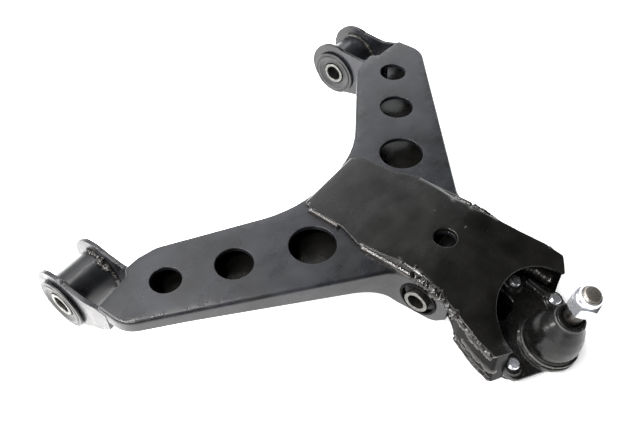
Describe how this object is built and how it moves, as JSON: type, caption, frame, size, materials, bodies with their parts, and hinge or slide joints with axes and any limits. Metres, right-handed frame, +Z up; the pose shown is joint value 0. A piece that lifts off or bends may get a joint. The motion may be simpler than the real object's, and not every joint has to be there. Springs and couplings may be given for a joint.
{
  "type": "suspension control arm",
  "caption": "A-shaped stamped lower control arm with rubber pivot bushes, a damper cross tube and a bolted ball joint on a forked outer end.",
  "frame": {"origin": "centre of the front pivot bush's bore, halfway along its inner sleeve", "axes": "+X out from the pivot axis to the ball joint, +Y along the pivot axis from the rear bush to the front bush, +Z up, out of the arm's top face"},
  "size_m": [0.3974, 0.4394, 0.0974],
  "materials": {
    "arm_paint": "semi-gloss black electrocoat",
    "cover_paint": "gloss black electrocoat",
    "weld_paint": "gloss black paint over a rippled weld bead",
    "dark_steel": "black coated steel, satin",
    "bush_rubber": "matte moulded rubber",
    "sleeve_steel": "phosphated steel tube, turned ends",
    "casting": "gloss black paint over a rough casting",
    "seat_plastic": "natural acetal",
    "stud_steel": "ground dark steel",
    "zinc_plate": "bright zinc plate",
    "boot_rubber": "smooth satin moulded rubber"
  },
  "bodies": {
    "arm": {"arm_pressing": "arm_paint", "closing_plate": "arm_paint", "cover_plate": "cover_paint", "cover_welds": "weld_paint", "yoke_tray": "cover_paint", "yoke_welds": "weld_paint", "ear_front_outer": "arm_paint", "ear_front_inner": "arm_paint", "ear_rear_outer": "arm_paint", "ear_rear_inner": "arm_paint", "pivot_tube_front": "arm_paint", "pivot_tube_rear": "arm_paint", "ear_welds_front": "weld_paint", "ear_welds_rear": "weld_paint", "bush_shell_front": "dark_steel", "bush_shell_rear": "dark_steel", "bush_rubber_front": "bush_rubber", "bush_rubber_rear": "bush_rubber", "damper_tube": "arm_paint", "damper_rubber": "bush_rubber", "ball_joint_housing": "casting", "ball_seat": "seat_plastic", "ball_joint_cap": "dark_steel", "dust_boot": "boot_rubber", "boot_lower_ring": "dark_steel", "flange_bolts": "zinc_plate", "flange_washers": "zinc_plate"},
    "front_sleeve": {"bush_sleeve_front": "sleeve_steel"},
    "rear_sleeve": {"bush_sleeve_rear": "sleeve_steel"},
    "damper_bolt_sleeve": {"damper_sleeve": "sleeve_steel"},
    "boot_lip": {"boot_upper_ring": "dark_steel"},
    "stud": {"ball_stud": "stud_steel", "stud_nut": "zinc_plate", "nut_insert": "zinc_plate"}
  },
  "joints": [
    {"name": "front_bush_twist", "type": "hinge", "parent": "arm", "child": "front_sleeve", "pos_m": [0, 0, 0], "axis": [0, 1, 0], "range_deg": [-25, 25], "stiffness_Nm_per_rad": 1},
    {"name": "rear_bush_twist", "type": "hinge", "parent": "arm", "child": "rear_sleeve", "pos_m": [0, -0.386, 0], "axis": [0, 1, 0], "range_deg": [-25, 25], "stiffness_Nm_per_rad": 1},
    {"name": "damper_bush_twist", "type": "hinge", "parent": "arm", "child": "damper_bolt_sleeve", "pos_m": [0.242, -0.193, 0.016], "axis": [0, 1, 0], "range_deg": [-20, 20], "stiffness_Nm_per_rad": 1},
    {"name": "stud_tilt", "type": "hinge", "parent": "arm", "child": "boot_lip", "pos_m": [0.34092, -0.193, -0.01604], "axis": [0, 1, 0], "range_deg": [-22, 22], "deforming": ["dust_boot"]},
    {"name": "stud_spin", "type": "hinge", "parent": "boot_lip", "child": "stud", "pos_m": [0.34092, -0.193, -0.01604], "axis": [0.2079, 0, 0.9781], "continuous": true}
  ]
}
